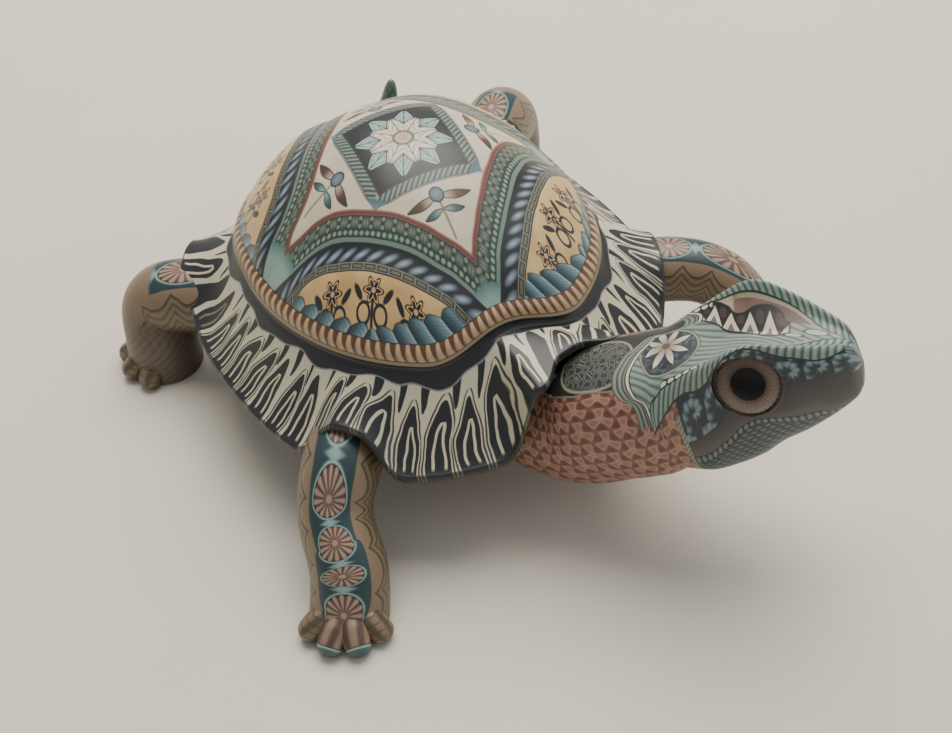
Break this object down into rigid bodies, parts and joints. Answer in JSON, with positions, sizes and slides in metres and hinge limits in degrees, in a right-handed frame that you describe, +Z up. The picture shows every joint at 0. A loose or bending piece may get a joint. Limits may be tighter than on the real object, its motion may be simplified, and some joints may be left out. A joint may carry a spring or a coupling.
{
  "type": "turtle sculpture",
  "caption": "Standing polymer clay turtle ornament with a domed patterned shell over a flared skirt, splayed toed legs, a raised head turned aside, glass eyes and a small curled tail.",
  "frame": {"origin": "middle of the part's plan box, at the level of the soles", "axes": "+X is forwards along the shell, +Y is the turtle's left, +Z is up"},
  "size_m": [0.1544, 0.1326, 0.0656],
  "materials": {
    "patterned_polymer_clay": "baked clay with fine inlaid patterns, sanded to a soft satin",
    "glass_eye": "polished cabochon over a painted iris"
  },
  "bodies": {
    "root": {"clay_turtle": "patterned_polymer_clay", "left_eye": "glass_eye", "right_eye": "glass_eye"}
  },
  "joints": []
}
